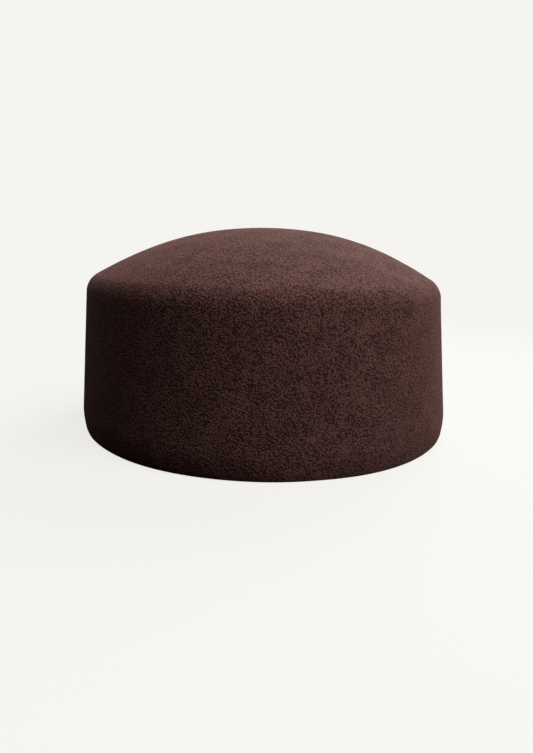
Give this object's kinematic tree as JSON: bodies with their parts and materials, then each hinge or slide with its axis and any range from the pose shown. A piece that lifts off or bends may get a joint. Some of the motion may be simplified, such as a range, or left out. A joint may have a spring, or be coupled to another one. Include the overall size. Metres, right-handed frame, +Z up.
{
  "type": "felt cap",
  "caption": "Round brimless felt cap, one seamless shell with an almost upright side, a soft shoulder and a low domed crown, open underneath.",
  "frame": {"origin": "centre of the rim, on the surface that the cap stands on", "axes": "+Z up out of the crown, -Y towards the front that the picture shows, +X to the right in it"},
  "size_m": [0.1909, 0.1905, 0.1025],
  "materials": {
    "brown_wool_felt": "matte dark brown wool felt with a short pebbly nap and a faint sheen"
  },
  "bodies": {
    "root": {"felt_cap": "brown_wool_felt"}
  },
  "joints": []
}
